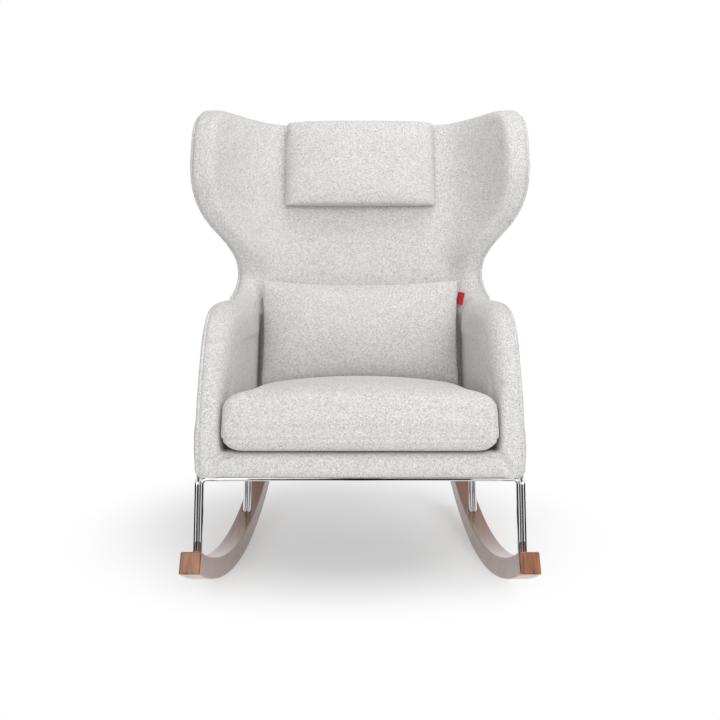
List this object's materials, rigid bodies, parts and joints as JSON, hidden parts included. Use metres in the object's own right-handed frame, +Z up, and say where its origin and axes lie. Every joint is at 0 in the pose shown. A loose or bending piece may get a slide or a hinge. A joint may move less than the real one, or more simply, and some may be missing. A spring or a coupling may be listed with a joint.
{
  "type": "upholstered rocking chair",
  "caption": "Wing back nursery rocking chair: padded arms, loose seat and lumbar cushions and a sliding head pillow, on chromed bent rod legs and curved walnut rockers.",
  "frame": {"origin": "middle of the floor under the chair, at the centre of its bounding box", "axes": "+Z up, the front faces -Y, +X to the right as seen from the front"},
  "size_m": [0.8154, 0.8809, 1.0862],
  "materials": {
    "walnut": "satin",
    "birch_ply": "matte",
    "chrome": "polished",
    "zinc_steel": "satin",
    "grey_upholstery": "matte",
    "foam": "matte",
    "webbing": "matte",
    "back_board": "matte",
    "woven_tab": "matte"
  },
  "bodies": {
    "chair": {"rocker_left": "walnut", "rocker_right": "walnut", "rocker_plugs": "walnut", "front_leg_frame": "chrome", "rear_leg_frame": "chrome", "side_leg_frame_left": "chrome", "side_leg_frame_right": "chrome", "foot_plates": "zinc_steel", "rocker_screws": "zinc_steel", "mounting_plates": "zinc_steel", "frame_bolts": "zinc_steel", "arm_bolts": "zinc_steel", "seat_front_rail": "birch_ply", "seat_rear_rail": "birch_ply", "seat_side_rail_left": "birch_ply", "seat_side_rail_right": "birch_ply", "arm_frame_left": "birch_ply", "arm_frame_right": "birch_ply", "back_post_left": "birch_ply", "back_post_right": "birch_ply", "back_middle_rail": "birch_ply", "back_top_rail": "birch_ply", "wing_frame_left": "birch_ply", "wing_frame_right": "birch_ply", "seat_webbing_long": "webbing", "seat_webbing_cross": "webbing", "back_webbing": "webbing", "seat_deck": "webbing", "dust_cover": "webbing", "outside_back_panel": "back_board", "front_rail_pad": "grey_upholstery", "arm_pad_left": "grey_upholstery", "arm_pad_right": "grey_upholstery", "wing_pad_left": "grey_upholstery", "wing_pad_right": "grey_upholstery", "back_pad": "grey_upholstery", "head_pillow_strap": "grey_upholstery"},
    "seat_cushion": {"seat_cushion_cover": "grey_upholstery", "seat_cushion_core": "foam"},
    "lumbar_cushion": {"lumbar_cushion_cover": "grey_upholstery", "lumbar_cushion_fill": "foam", "lumbar_tab": "woven_tab"},
    "head_pillow": {"head_pillow_cover": "grey_upholstery", "head_pillow_fill": "foam"},
    "counterweight": {"weight_pouch": "grey_upholstery", "weight_bars": "zinc_steel"}
  },
  "joints": [
    {"name": "seat_cushion_pull", "type": "slide", "parent": "chair", "child": "seat_cushion", "axis": [0, -0.9936, 0.1132], "range_m": [0, 0.46]},
    {"name": "lumbar_cushion_lift", "type": "slide", "parent": "chair", "child": "lumbar_cushion", "axis": [0, -0.7071, 0.7071], "range_m": [0, 0.45]},
    {"name": "head_pillow_slide", "type": "slide", "parent": "chair", "child": "head_pillow", "axis": [0, 0.2524, 0.9676], "range_m": [-0.12, 0]},
    {"name": "counterweight_slide", "type": "slide", "parent": "chair", "child": "counterweight", "axis": [0, 0.1373, 0.9905], "range_m": [0, 0.12]}
  ],
  "couplings": [
    {"joint": "counterweight_slide", "follows": "head_pillow_slide", "ratio": -1}
  ]
}
